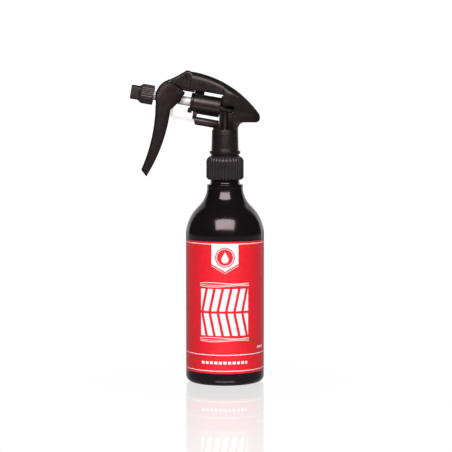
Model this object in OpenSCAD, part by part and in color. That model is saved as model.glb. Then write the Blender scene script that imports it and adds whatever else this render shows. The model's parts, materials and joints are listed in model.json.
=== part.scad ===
// Trigger spray bottle: a round bottle with a wrap-round label, a screw collar, and a spray head whose
// nozzle tube passes through the trigger and moves back with it.
// The bottle stands on z = 0 with its axis on Z. The nozzle points to -X.
// Points marked (s, t) lie in the head's own plane: s runs back along the pump axis, t is square to it.

/* [Bottle] */
// Outer radius of the bottle
bottle_r = 33.5; // [28:0.1:40.5]
// Height at which the shoulder starts
shoulder_z = 126; // [104:0.5:152]
// Radius of the shoulder's outward curve
shoulder_r = 34; // [29:0.5:41]
// Radius of the shoulder's inward curve
throat_r = 23.6; // [20:0.1:26]
// Angle at which the two shoulder curves meet, in degrees
shoulder_angle = 47; // [43:1:50]
// Wall of the bottle
bottle_wall = 0.8; // [0.6:0.05:1.2]
// Radius of the rounded foot
foot_r = 5.5; // [4:0.1:7]
// Height of the hollow under the foot
pushup = 2; // [1:0.1:3]

/* [Neck] */
// Radius of the neck below its thread
neck_r = 12.4; // [12:0.05:12.8]
// Bore of the neck
neck_bore_r = 10.6; // [10.2:0.05:10.8]
// Height of the neck above the shoulder's ledge
neck_h = 22; // [20.5:0.5:24]
// Height of the thread
thread_h = 1.1; // [0.8:0.05:1.2]
// Pitch of the thread
thread_pitch = 4.233; // [3.6:0.01:4.6]
// Turns of the thread
thread_turns = 1.25; // [1:0.05:1.5]

/* [Label] */
// Height of the label's lower edge
label_z = 10.9; // [9:0.1:14]
// Height of the label
label_h = 112; // [80:0.5:114]
// Thickness of the label
label_t = 0.15; // [0.1:0.01:0.2]

/* [Collar] */
// Outer radius of the collar over its ribs
collar_r = 16; // [15.6:0.1:18]
// Height of the collar
collar_h = 20.5; // [19.5:0.1:22]
// Number of ribs on the collar
collar_ribs = 36; // [24:1:44]
// Wall of the collar's top
collar_top = 2.5; // [2:0.1:3]

/* [Stem] */
// Radius of the stem at its top
stem_r = 11.2; // [10.8:0.1:12.5]
// Radius of the ring at the stem's foot
stem_ring_r = 13.2; // [12.9:0.1:15]
// Height of the stem above the ring
stem_h = 18; // [16:0.5:21]
// Wall of the stem
stem_wall = 1.8; // [1.4:0.1:2.2]
// Radius of the liquid passage
passage_r = 1.6; // [1.3:0.1:1.9]
// Outer radius of the suction tube
dip_r = 2.4; // [2.1:0.1:2.6]
// Wall of the suction tube
dip_wall = 0.7; // [0.5:0.05:0.8]

/* [Head] */
// Slope of the pump axis, in degrees
tilt = 9.8; // [6:0.1:12]
// Height of the pump axis over the stem's top
axis_rise = 18.7; // [18:0.1:21]
// Outer radius of the barrel
barrel_r = 7.75; // [7.4:0.05:8.2]
// Bore of the barrel
bore_r = 6.2; // [5.6:0.05:6.4]
// Outer radius of the piston tube
tube_r = 3.85; // [3.2:0.05:4.05]
// Bore of the piston tube
tube_bore_r = 2.3; // [1.9:0.05:2.5]
// Radius of the curve along the top of the head
crown_r = 87.2; // [84:0.2:95]
// Height of the top of the head over the pump axis
crown_t = 25.6; // [25:0.1:28]
// Half width of the head's front
front_w = 10.2; // [9.9:0.1:12]
// Half width of the head's rear
rear_w = 12.4; // [12.2:0.1:14]
// Wall of the covers
cover_wall = 1.6; // [1.3:0.1:1.9]

/* [Trigger] */
// Half width of the trigger
trigger_w = 9.8; // [9.4:0.1:10.4]
// Wall of the trigger
trigger_wall = 1.8; // [1.4:0.1:2]
// Radius of the pin that the trigger hangs on
pin_r = 1.5; // [1.3:0.1:1.8]
// Radius of the piston tube's side pins
trunnion_r = 1.6; // [1.3:0.1:1.8]

/* [Nozzle] */
// Radius of the nozzle cap over its knurls
cap_r = 8.35; // [8.1:0.05:10.1]
// Length of the knurled part
knurl_l = 10.5; // [9.5:0.1:11]
// Length of the squared front
front_l = 9.1; // [8.5:0.1:11]
// Width of the squared front across its flats
front_flat = 12.1; // [11.2:0.1:14]
// Number of knurls
knurls = 24; // [16:1:30]
// Radius of the spray hole
orifice_r = 0.4; // [0.3:0.05:0.6]

/* [Hidden] */
$fn = 72;

run = 0.08;                 // running clearance between a pin and its hole
slip = 0.05;                // clearance between pieces that are pushed together
eps = 0.01;

// Heights up the bottle and the collar
throat_cx = bottle_r - shoulder_r + (shoulder_r + throat_r) * cos(shoulder_angle);
throat_cz = shoulder_z + (shoulder_r + throat_r) * sin(shoulder_angle);
throat_end = 5;                                      // angle at which the inward curve stops
ledge_r = throat_cx - throat_r * cos(throat_end);
ledge_z = throat_cz - throat_r * sin(throat_end);
ledge_h = 1.1;
neck_fillet = min(ledge_r - neck_r, 2.8);
neck_z = ledge_z + ledge_h + neck_fillet;            // foot of the straight neck
lip_z = ledge_z + ledge_h + neck_h;                  // top of the bottle
gasket_h = 1.15;
flange_z = lip_z + gasket_h + slip;                  // underside of the neck plug's flange
flange_h = 1.3;
spigot_z = flange_z + flange_h + 0.02;               // foot of the stem's spigot
collar_seat_z = flange_z + flange_h + slip;          // underside of the collar's top
collar_top_z = collar_seat_z + collar_top;
collar_z = collar_top_z - collar_h;
collar_bore_r = neck_r + thread_h + 0.4;
stem_z = collar_top_z + 1.4;                         // underside of the stem's ring
ring_h = 2.6;
stem_top_z = stem_z + ring_h + stem_h;
spigot_r = 9.5;                                      // stem's spigot inside the collar
plug_r = 6.45;                                       // plug's tower inside the spigot
axis_z = stem_top_z + axis_rise;                     // height of the pump axis over the bottle's axis

// Places along the pump axis
trunnion_s = -40.9;
pivot = [-35.3, 20.4];
barrel_front = -27.4;
barrel_back = -4;
chamber_back = -6;
cap_flange = 2.4;
cap_front = barrel_front - cap_flange;
boss_t = -1.2;
boss_end = 5.6;
window_s = 7.7;                                      // front edge of the shroud's rear skirt
skirt_t = -0.6;                                      // lower edge of the rear skirt
front_t = barrel_r + 2.6;                            // lower edge of the shroud over the barrel
step_s = -3.4;                                       // where the shroud widens
hood_s = -31.6;                                      // joint between hood and shroud
crown_s = -32.3;                                     // highest place of the crown
tail_s = 31;
socket_t = -15.15;
socket_r = 3.5;
socket_front = -24.8;
strap_t = 3;                                         // thickness of the return spring
strap_w = 2;                                         // half width of the return spring
nozzle_back = -61.7;
nozzle_front = nozzle_back - knurl_l - front_l;
tube_front = nozzle_back - 5;
carrier_r = cap_r - 1.75;
carrier_front = nozzle_back - knurl_l - 3;
post_r = 3;
spinner_l = 2.2;
arm_in = 5.6;                                        // trigger arms, measured from the middle
arm_out = 7.4;
slot_rise = 0.85;                                    // rise of the side pins in the trigger's notch
slot_run = 0.3;                                       // and rearward

function arc(c, r, a0, a1, n = 24) =
    [for (i = [0:n]) let (a = a0 + (a1 - a0) * i / n) [c[0] + r * cos(a), c[1] + r * sin(a)]];

// Puts what is drawn in the head's (s, y, t) frame in its place
module head() { translate([0, 0, axis_z]) rotate([0, tilt, 0]) children(); }
// A plate of the given outline (s, t), from y = a to y = b
module plate(a, b) { translate([0, b, 0]) rotate([90, 0, 0]) linear_extrude(b - a) children(); }
// The same plate on both sides
module plates(a, b) { plate(a, b) children(); plate(-b, -a) children(); }
// A cylinder along the pump axis, from s = a back to s = b
module rod(r, a, b, t = 0) { translate([a, 0, t]) rotate([0, 90, 0]) cylinder(r = r, h = b - a); }
// A cylinder across the head
module cross_rod(r, s, t, w) { translate([s, 0, t]) rotate([90, 0, 0]) cylinder(r = r, h = 2 * w, center = true); }
// A revolved piece along the pump axis: the children's x is the radius and their y is s
module turned() { rotate([0, 90, 0]) rotate_extrude() children(); }
module box(a, b) { translate(a) cube(b - a); }
module o_ring(major, minor, s) { translate([s, 0, 0]) rotate([0, 90, 0])
    rotate_extrude() translate([major, 0]) circle(r = minor, $fn = 24); }

// A screw thread ridge of trapezoid section on radius r, standing h outwards (or inwards when h < 0)
module thread(r, h, z, turns, root = 1.05, crest = 0.55) {
    n = 36;
    steps = ceil(turns * n);
    bury = h > 0 ? -0.35 : 0.35;
    sect = [[bury, -root], [h, -crest], [h, crest], [bury, root]];
    pts = [for (i = [0:steps], j = [0:3])
           let (a = i * 360 / n, k = min(1, (1 + min(i, steps - i)) / 5),
                p = sect[j], rr = r + (p[0] == h ? bury + (h - bury) * k : p[0]))
           [rr * cos(a), rr * sin(a), z + thread_pitch * a / 360 + p[1]]];
    quads = [for (i = [0:steps - 1], j = [0:3])
             let (a = 4 * i + j, b = 4 * i + (j + 1) % 4)
             h > 0 ? [a, b, b + 4, a + 4] : [a, a + 4, b + 4, b]];
    last = 4 * steps;
    ends = h > 0 ? [[3, 2, 1, 0], [last, last + 1, last + 2, last + 3]]
                 : [[0, 1, 2, 3], [last + 3, last + 2, last + 1, last]];
    polyhedron(points = pts, faces = concat(quads, ends), convexity = 4);
}

// ---- bottle -------------------------------------------------------------------------------------
label_r = bottle_r - label_t;                        // floor of the label's shallow recess
rest_r = bottle_r - foot_r + 0.5;                    // ring that the bottle stands on
thread_z = lip_z - 3 - thread_pitch * thread_turns;  // start of the bottle's thread

function shoulder(w) = concat(
    arc([bottle_r - shoulder_r, shoulder_z], shoulder_r - w, 0, shoulder_angle, 20),
    arc([throat_cx, throat_cz], throat_r + w, 180 + shoulder_angle, 180 + throat_end, 16));

module bottle_outside() {
    polygon(concat(
        [[0, pushup], [rest_r - 6, pushup], [rest_r - 2.5, 0]],
        arc([bottle_r - foot_r, foot_r], foot_r, -90, 0, 10),
        [[bottle_r, label_z - 0.3], [label_r, label_z - 0.2],
         [label_r, label_z + label_h + 0.2], [bottle_r, label_z + label_h + 0.3]],
        shoulder(0),
        [[ledge_r, ledge_z + ledge_h]],
        arc([neck_r + neck_fillet, neck_z], neck_fillet, 270, 180, 8),
        [[neck_r, lip_z - 0.4], [neck_r - 0.4, lip_z], [0, lip_z]]));
}
module bottle_inside() {
    w = bottle_wall + label_t;
    polygon(concat(
        [[0, pushup + 1.2], [rest_r - 5, pushup + 1.2], [rest_r - 2, 1.4]],
        arc([bottle_r - foot_r, foot_r], foot_r - w - 0.2, -90, 0, 8),
        [[bottle_r - w, foot_r + 1], [bottle_r - w, shoulder_z]],
        [for (p = shoulder(w)) [max(p[0], neck_bore_r), p[1]]],
        [[neck_bore_r, ledge_z + 1.5], [neck_bore_r, lip_z + 1], [0, lip_z + 1]]));
}
module bottle() {
    color([0.05, 0.04, 0.045]) union() {
        difference() {
            rotate_extrude($fn = 144) bottle_outside();
            rotate_extrude($fn = 144) bottle_inside();
        }
        thread(neck_r, thread_h, thread_z, thread_turns);
    }
}
module label() {
    color([0.85, 0.07, 0.1]) translate([0, 0, label_z]) difference() {
        cylinder(r = bottle_r, h = label_h, $fn = 144);
        translate([0, 0, -1]) cylinder(r = label_r + 0.02, h = label_h + 2, $fn = 144);
    }
}

// ---- collar and neck ----------------------------------------------------------------------------
module collar() {
    rib_r = 0.85;
    core_r = collar_r - 0.55;
    taper = 3.2;
    color([0.07, 0.06, 0.065]) union() {
        difference() {
            intersection() {
                translate([0, 0, collar_z]) union() {
                    cylinder(r = core_r, h = collar_h);
                    for (i = [0:collar_ribs - 1]) rotate([0, 0, i * 360 / collar_ribs])
                        translate([collar_r - rib_r, 0, 0]) cylinder(r = rib_r, h = collar_h, $fn = 16);
                }
                rotate_extrude() polygon([[0, collar_z], [collar_r - 1.7, collar_z], [collar_r + 0.01, collar_z + 1.8],
                    [collar_r + 0.01, collar_top_z - 1.5 - taper], [collar_r - 1.4, collar_top_z - 2.5],
                    [collar_r - 3.5, collar_top_z], [0, collar_top_z]]);
            }
            translate([0, 0, collar_z - 1]) cylinder(r = collar_bore_r, h = collar_seat_z - collar_z + 1);
            translate([0, 0, collar_z]) cylinder(r = spigot_r + 0.3, h = collar_h + 1);
        }
        thread(collar_bore_r, -thread_h, thread_z + thread_pitch / 2, thread_turns - 0.1);
    }
}
module neck_gasket() {
    color([0.85, 0.85, 0.83]) translate([0, 0, lip_z + 0.02]) difference() {
        cylinder(r = neck_r, h = gasket_h);
        translate([0, 0, -1]) cylinder(r = neck_bore_r - 0.05, h = gasket_h + 2);
    }
}
ball_r = 2.05;
ball_lift = 1.2;
inlet_r = passage_r - 0.2;
chamber_r = ball_r + 0.55;
seat_h = chamber_r - inlet_r;                        // the ball's seat is a cone of 45 degrees
seat_z = flange_z - 0.4;                             // foot of the seat
ball_z = seat_z - inlet_r + ball_r * sqrt(2) + 0.02;
plug_top_z = ball_z + ball_r + ball_lift;
socket_foot_z = lip_z - 15;
module neck_plug() {
    color([0.9, 0.9, 0.88]) difference() {
        union() {
            translate([0, 0, flange_z]) cylinder(r = neck_r + 0.1, h = flange_h);
            translate([0, 0, lip_z - 5]) cylinder(r = neck_bore_r - 0.2, h = flange_z + flange_h - lip_z + 5);
            translate([0, 0, flange_z]) cylinder(r = plug_r, h = plug_top_z - flange_z);
            translate([0, 0, socket_foot_z]) cylinder(r = dip_r + 1.2, h = flange_z - socket_foot_z + 0.5);
        }
        // room inside the skirt, round the socket
        translate([0, 0, lip_z - 6]) difference() {
            cylinder(r = neck_bore_r - 1.3, h = flange_z - lip_z + 6);
            translate([0, 0, -1]) cylinder(r = dip_r + 1.2, h = flange_z - lip_z + 8);
        }
        translate([0, 0, socket_foot_z - 1]) cylinder(r = dip_r + slip, h = lip_z - 4 - socket_foot_z + 1);
        translate([0, 0, socket_foot_z]) cylinder(r = inlet_r, h = seat_z - socket_foot_z + 0.5);
        translate([0, 0, seat_z]) cylinder(r1 = inlet_r, r2 = chamber_r, h = seat_h);
        translate([0, 0, seat_z + seat_h - eps]) cylinder(r = chamber_r, h = plug_top_z);
        // air vent
        translate([8, 0, flange_z - 1]) cylinder(r = 0.6, h = 4, $fn = 24);
    }
}
module inlet_ball() { color("silver") translate([0, 0, ball_z]) sphere(r = ball_r, $fn = 48); }
dip_top_z = lip_z - 4.1;
dip_foot_z = 8;
module dip_tube() {
    color([0.9, 0.9, 0.92, 0.6]) translate([0, 0, dip_foot_z]) difference() {
        cylinder(r = dip_r, h = dip_top_z - dip_foot_z);
        translate([0, 0, -1]) cylinder(r = dip_r - dip_wall, h = dip_top_z - dip_foot_z + 2);
    }
}
module dip_filter() {
    filter_h = 11;
    color([0.9, 0.9, 0.88]) translate([0, 0, pushup + 2.6]) difference() {
        cylinder(r = dip_r + 1.1, h = filter_h);
        translate([0, 0, dip_foot_z - pushup - 2.6 - 0.1]) cylinder(r = dip_r + slip, h = filter_h);
        translate([0, 0, 1]) cylinder(r = dip_r - dip_wall, h = filter_h);
        for (i = [0:2]) rotate([0, 0, i * 60]) box([-6, -0.5, -1], [6, 0.5, 1.8]);
    }
}

// ---- pump body ----------------------------------------------------------------------------------
rest_z = axis_z - 12.4;                              // underside of the hand rest
rest_fillet = 6;
rest_nose = 4;
rest_x = tail_s * cos(tilt) - 0.5;
rest_front = 6.6;

// Side view of the hand rest in (x, z), inset by w
module rest_side(w = 0) {
    line = function(x) axis_z + (skirt_t - 0.02 - x * sin(tilt)) / cos(tilt);
    corner = [rest_x - rest_nose, rest_z + rest_nose];
    polygon(concat(
        [[rest_front + w, line(rest_front + w) + (w > 0 ? 5 : 0)], [rest_front + w, stem_top_z + w - 3]],
        [[stem_r, stem_top_z - 3 + w]],
        arc([stem_r + rest_fillet, rest_z - rest_fillet], rest_fillet + w, 180, 90, 8),
        arc(corner, rest_nose - w, -90, 20, 8),
        [[rest_x - 1 - w, line(rest_x - 1 - w) + (w > 0 ? 5 : 0)]]));
}
// Plan of the head's rear, inset by w
module rear_plan(w = 0) {
    hull() {
        translate([1, 0]) circle(r = rear_w - w, $fn = 64);
        translate([tail_s * cos(tilt) - 8, 0]) circle(r = 8 - w, $fn = 64);
    }
}
module hand_rest() {
    difference() {
        intersection() {
            plate(-rear_w, rear_w) rest_side();
            translate([0, 0, rest_z - 20]) linear_extrude(40) rear_plan(0.3);
        }
        intersection() {
            plate(-rear_w, rear_w) rest_side(1.5);
            translate([0, 0, rest_z - 5]) linear_extrude(40) rear_plan(1.8);
        }
        // the stem's hollow stays open
        translate([0, 0, stem_top_z - 12]) cylinder(r = stem_r - stem_wall, h = 10.4);
    }
}
module stem() {
    ring_top = stem_z + ring_h;
    difference() {
        rotate_extrude() polygon([[0, spigot_z], [spigot_r, spigot_z], [spigot_r, stem_z - 1.2],
            [stem_ring_r - 1.3, stem_z - 1.2], [stem_ring_r - 1.3, stem_z],
            [stem_ring_r - 0.4, stem_z], [stem_ring_r, stem_z + 0.4], [stem_ring_r, ring_top - 0.4],
            [stem_ring_r - 0.4, ring_top], [stem_r + 0.6, ring_top + 0.2],
            [stem_r, stem_top_z], [0, stem_top_z]]);
        translate([0, 0, stem_z - 5]) cylinder(r = plug_r + slip, h = plug_top_z - stem_z + 5 + slip);
        // hollow between the wall and the passage
        translate([0, 0, ring_top]) difference() {
            cylinder(r = stem_r - stem_wall, h = stem_h - 1.6);
            translate([0, 0, -1]) cylinder(r = 3.2, h = stem_h + 2);
        }
        translate([8, 0, stem_z - 5]) cylinder(r = 0.7, h = 9, $fn = 24);
    }
}
module barrel() {
    rod(barrel_r, barrel_front, barrel_back);
    // rib under the barrel
    box([barrel_front + 1, -1.2, -barrel_r - 1.45], [barrel_back, 1.2, -barrel_r + 1]);
    // boss of the cross channel behind the barrel
    rod(2.7, barrel_back - 0.5, boss_end, boss_t);
    // web over the cross channel, inside the shroud
    box([barrel_back - 0.5, -1, boss_t], [window_s - 1.2, 1, front_t - 1]);
    // bridge to the shroud, and the knuckle that holds the hinge pin
    box([barrel_front, -5, barrel_r - 1.6], [-19.3, 5, front_t + 1.2]);
    plate(-5, 5) hull() {
        translate(pivot) circle(r = 3.1, $fn = 32);
        translate([barrel_front + 0.5, front_t]) square([6, 3.4]);
    }
}
module spring_socket() {
    rod(socket_r, socket_front, -3, socket_t);
    box([barrel_front + 1, -1.5, socket_t + 1], [-22.6, 1.5, -barrel_r + 1]);
}
module pump_body() {
    color([0.07, 0.06, 0.065]) difference() {
        union() {
            stem();
            hand_rest();
            head() { barrel(); spring_socket(); }
            // passage up to the barrel, with its webs
            translate([0, 0, stem_top_z - 2]) cylinder(r = 3.2, h = axis_rise + 1.4);
            box([-5, -1, stem_top_z - 1], [0, 1, axis_z - 2]);
            box([0, -0.9, stem_top_z - 1], [rest_front + 1, 0.9, axis_z - 4]);
            box([-10.2, -2, stem_top_z - 1], [-4, 2, stem_top_z + 5.5]);
        }
        translate([0, 0, stem_z - 1]) cylinder(r = passage_r, h = axis_z - stem_z + 0.6);
        head() {
            rod(bore_r, barrel_front - 1, chamber_back);
            rod(passage_r, chamber_back - 1, boss_end + 1, boss_t);
            // room for the rear plug's head
            rod(2.5 + slip, boss_end, boss_end + 1.6, boss_t);
            cross_rod(pin_r + 0.02, pivot[0], pivot[1], 12);
            box([socket_front - 2, -strap_w - 0.1, socket_t - strap_t / 2 - 0.1],
                [-12.5, strap_w + 0.1, socket_t + strap_t / 2 + 0.1]);
            // slanted end of the spring socket
            translate([socket_front - 0.4, 0, socket_t + socket_r]) rotate([0, -17, 0])
                box([-4, -5, -10], [0, 5, 2]);
        }
    }
}
module rear_plug() {
    color([0.1, 0.09, 0.095]) head() {
        rod(passage_r - 0.02, 3, boss_end + 0.5, boss_t);
        rod(2.5, boss_end + slip, boss_end + 1.5, boss_t);
    }
}
module barrel_cap() {
    color([0.07, 0.06, 0.065]) head() difference() {
        union() {
            rod(barrel_r + 0.25, cap_front, barrel_front - 0.02);
            rod(bore_r - slip, barrel_front - 1, barrel_front + 3);
            box([cap_front - 1.3, -4.5, -9.3], [barrel_front - 0.02, 4.5, -tube_r - 1.2]);
        }
        rod(tube_r + 0.1, cap_front - 3, barrel_front + 4);
        rod(tube_r + 1.3, barrel_front - 0.2, barrel_front + 1.4);
    }
}
module barrel_wiper() { color([0.15, 0.15, 0.15]) head() o_ring(tube_r + 0.65, 0.6, barrel_front + 0.6); }

// ---- covers -------------------------------------------------------------------------------------
// A ring section that rounds the crown over half width w, with edge radius f, inset by i
module crown(w, f, i = 0) {
    r = crown_r - i;
    e = f - i;
    h = w - i;
    translate([crown_s, 0, crown_t - crown_r]) rotate([90, 0, 0]) rotate_extrude($fn = 180) {
        translate([20, -h]) square([r - e - 20, 2 * h]);
        translate([20, -(h - e)]) square([r - 20, 2 * (h - e)]);
        for (k = [-1, 1]) translate([r - e, k * (h - e)]) circle(r = e, $fn = 32);
    }
}
module shroud_front_side(i = 0) {
    polygon([[hood_s - (i > 0 ? 5 : 0), 8.4 - (i > 0 ? 9 : 0)], [-27.8, 8.2 - (i > 0 ? 9 : 0)],
             [-27, front_t - (i > 0 ? 9 : 0)], [step_s + 1, front_t - (i > 0 ? 9 : 0)],
             [step_s + 1, 30], [hood_s - 1.2 - (i > 0 ? 5 : 0), 30]]);
}
module shroud_rear_side(i = 0) {
    d = i > 0 ? 9 : 0;
    polygon([[step_s + i - (i > 0 ? 3 : 0), 2.8 - d], [window_s + i, 2.8 - d],
             [window_s + i, skirt_t - d], [tail_s - i, skirt_t - d], [tail_s - i, 30],
             [step_s - (i > 0 ? 1.4 : 0), 30]]);
}
module shroud() {
    color([0.07, 0.06, 0.065]) head() difference() {
        union() {
            intersection() {
                plate(-front_w, front_w) shroud_front_side();
                crown(front_w, 6);
            }
            intersection() {
                plate(-rear_w, rear_w) shroud_rear_side();
                crown(rear_w, 7.5);
                translate([0, 0, -10]) linear_extrude(50) rear_plan();
            }
        }
        intersection() {
            plate(-front_w + cover_wall, front_w - cover_wall) shroud_front_side(cover_wall);
            crown(front_w, 6, cover_wall);
        }
        intersection() {
            plate(-rear_w, rear_w) shroud_rear_side(cover_wall);
            crown(rear_w, 7.5, cover_wall);
            translate([0, 0, -20]) linear_extrude(60) rear_plan(cover_wall);
        }
    }
}
// Side view of the hood, inset by w below its top
module hood_side(w = 0) {
    e = w > 0 ? 6 : 0;
    polygon(concat(
        [[-50.7 + 2.2 * w - e, 15.7 - w / 2 - 2 * e], [-50.7 + w, 15.7 - w / 2], [-44.1 + w / 2, 20.4 - w],
         [-39.4 + w / 2, 24.3 - w]],
        arc([pivot[0] - 0.7, crown_t - 3.8], 4.2 - w, 128, 70, 6),
        [[hood_s - 1 + e, 25.3 - w], [hood_s - 0.05 + e, 8.4 - e], [-36.2, 8.3 - e]]));
}
module hinge_hood() {
    color([0.07, 0.06, 0.065]) head() difference() {
        plate(-front_w, front_w) hood_side();
        plate(-front_w + cover_wall, front_w - cover_wall) hood_side(1.7);
    }
}
module hinge_pin() {
    color([0.1, 0.09, 0.095]) head() cross_rod(pin_r, pivot[0], pivot[1], front_w - cover_wall - 0.3);
}

// ---- trigger ------------------------------------------------------------------------------------
front_arc = [[-197.6, -28.9], 140.6];                // centre and radius of the blade's front edge
rear_arc = [[-187.7, -15.1], 142];                   // centre and radius of the blade's rear edge
top_arc = [[-44.5, 1.4], 15.7];                      // centre and radius of the rounded top
// Side view of the trigger, its front edge inset by w
module trigger_side(w = 0) {
    f = w > 0 ? 1 : 0;
    polygon(concat(
        [[-41.6 + 5 * f, -4.6], [-38.0 + 5 * f, 0.8], [-35.9 + 4 * f, 6.3 + 4 * f],
            [-36.5 + 4 * f, 7.4 + 5 * f], [-51.6 + 2 * f, 14.0 + 1.2 * f]],
        arc(top_arc[0], top_arc[1] - w, 119, 204, 16),
        arc(front_arc[0], front_arc[1] + w, 8.7, -14.4, 20),
        [[-55.9 - f, -69.0 + 1.6 * f]],
        arc(rear_arc[0], rear_arc[1] + 6 * f, -21.9, 2.1, 20)));
}
module trigger() {
    color([0.07, 0.06, 0.065]) head() difference() {
        union() {
            difference() {
                plate(-trigger_w, trigger_w) trigger_side();
                plate(-trigger_w + trigger_wall, trigger_w - trigger_wall) trigger_side(trigger_wall);
            }
            // thick pads inside the cheeks, and the arms up to the hinge
            plates(arm_in, trigger_w - 1) polygon([[-38.6, 4.2], [-38.6, 6.4], [-47.5, 11.2], [-47.5, -4], [-43.1, -4]]);
            plates(arm_in, arm_out) hull() {
                translate(pivot) circle(r = 2.9, $fn = 32);
                translate([-46.5, 9.2]) square([7, 1.2]);
            }
            // tongues that close the gap under the hood
            plates(arm_in, trigger_w - 1.8) polygon([[-38.6, 5.9], [-37.4, 9.2], [-47.5, 14.7], [-49.4, 13.2]]);
            // cross bar that stiffens the cheeks
            plate(-trigger_w + 1, trigger_w - 1) translate([-52, -16.5]) circle(r = 1.2, $fn = 24);
        }
        cross_rod(pin_r + run, pivot[0], pivot[1], 12);
        // notch that pushes on the side pins
        for (x = [0, slot_run], y = [0, slot_rise]) cross_rod(trunnion_r + 0.1, trunnion_s + x, y, 12);
        plate(-12, 12) translate([trunnion_s - trunnion_r - 0.1, 0]) square([2 * trunnion_r + 0.2 + slot_run, slot_rise]);
        // way for the piston tube
        plate(-tube_r - 0.9, tube_r + 0.9) polygon([[-64, -6.5], [-50, -6.5], [-44, 9], [-50, 22], [-64, 22]]);
    }
}

// ---- return spring ------------------------------------------------------------------------------
bend_r = 4;
bend = [-40.7, socket_t + bend_r];
module spring_side() {
    polygon(concat(
        [[bend[0] - bend_r - strap_t / 2, -4.6]],
        arc(bend, bend_r + strap_t / 2, 180, 270, 10),
        [[-14, socket_t - strap_t / 2], [-14, socket_t + strap_t / 2]],
        arc(bend, bend_r - strap_t / 2, 270, 180, 8),
        [[bend[0] - bend_r + strap_t / 2, -4.6]]));
}
module return_spring() {
    color([0.88, 0.86, 0.9, 0.6]) head() difference() {
        union() {
            plate(-strap_w, strap_w) spring_side();
            plate(-arm_in + 0.2, arm_in - 0.2) polygon([[-46.2, -7.4], [-43.2, -7.4], [-43.2, -4.4], [-46.2, -4.4]]);
            plates(tube_r + 0.15, arm_in - 0.2) polygon([[-46.2, -5], [-43.2, -5], [-39, -1.8], [-38.6, 0],
                [-39.4, 1.9], [-40.9, 2.5], [-42.6, 1.9], [-46.2, -2.6]]);
        }
        cross_rod(trunnion_r + 0.05, trunnion_s, 0, 12);
    }
}

// ---- piston and nozzle --------------------------------------------------------------------------
piston_s = -22.5;
spigot_end = -17.5;
module piston_tube() {
    color([0.88, 0.86, 0.9, 0.6]) head() {
        difference() {
            union() {
                rod(tube_r, tube_front, piston_s + 0.5);
                rod(bore_r - 0.4, piston_s, piston_s + 1.5);
                rod(3.2, piston_s, spigot_end);
            }
            rod(tube_bore_r, tube_front - 1, spigot_end + 1);
        }
        for (k = [-1, 1]) translate([trunnion_s, k * (tube_r + trigger_w) / 2, 0]) rotate([90, 0, 0])
            cylinder(r = trunnion_r, h = trigger_w - tube_r + 0.8, center = true);
    }
}
module piston_seal() {
    color([0.85, 0.85, 0.83]) head() translate([piston_s + 1.5 + slip, 0, 0]) rotate([0, 90, 0]) rotate_extrude()
        polygon([[3.2 + slip, 0], [bore_r - 0.4, 0], [bore_r - slip, 2.6], [bore_r - 0.7, 2.6], [4.6, 1.2], [3.2 + slip, 1.2]]);
}
module nozzle_carrier() {
    groove_s = nozzle_back - 4;
    color([0.9, 0.9, 0.88]) head() difference() {
        union() {
            rod(carrier_r, nozzle_back - 8, nozzle_back - 0.6);
            rod(post_r, carrier_front, nozzle_back - 7);
        }
        rod(tube_r + slip, tube_front - slip, nozzle_back);
        rod(2.9, nozzle_back - 7, nozzle_back);
        rod(1, carrier_front - 1, nozzle_back - 6);
        // groove of the seal
        difference() {
            rod(carrier_r + 1, groove_s - 0.75, groove_s + 0.75);
            rod(carrier_r - 1.25, groove_s - 1, groove_s + 1);
        }
    }
}
module nozzle_seal() { color([0.12, 0.12, 0.12]) head() o_ring(carrier_r - 0.57, 0.62, nozzle_back - 4); }
module outlet_valve() {
    color([0.9, 0.9, 0.88]) head() {
        rod(2.6, tube_front - 0.85, tube_front - slip);
        rod(0.8, tube_front - 1.35, tube_front - 0.8);
    }
}
module outlet_spring() {
    wire = 0.18;
    turns = 2;
    n = 16;
    m = 6;
    start = tube_front - 1.1;
    pitch = 0.35;
    pts = [for (i = [0:turns * n], j = [0:m - 1])
           let (a = i * 360 / n, b = j * 360 / m, r = 1.5 + wire * cos(b))
           [start - pitch * a / 360 + wire * sin(b), r * cos(a), r * sin(a)]];
    last = turns * n * m;
    color("silver") head() polyhedron(points = pts, faces = concat(
        [for (i = [0:turns * n - 1], j = [0:m - 1])
            [i * m + j, i * m + (j + 1) % m, (i + 1) * m + (j + 1) % m, (i + 1) * m + j]],
        [[for (j = [0:m - 1]) m - 1 - j], [for (j = [0:m - 1]) last + j]]));
}
module spinner() {
    color([0.9, 0.9, 0.88]) head() difference() {
        rod(post_r, carrier_front - slip - spinner_l, carrier_front - slip);
        rod(0.9, carrier_front - 9, carrier_front + 1);
        for (i = [0:2]) rotate([i * 120, 0, 0])
            box([carrier_front - slip - spinner_l - 1, 0.2, -0.35], [carrier_front - slip - spinner_l + 0.6, 4, 0.35]);
    }
}
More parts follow.
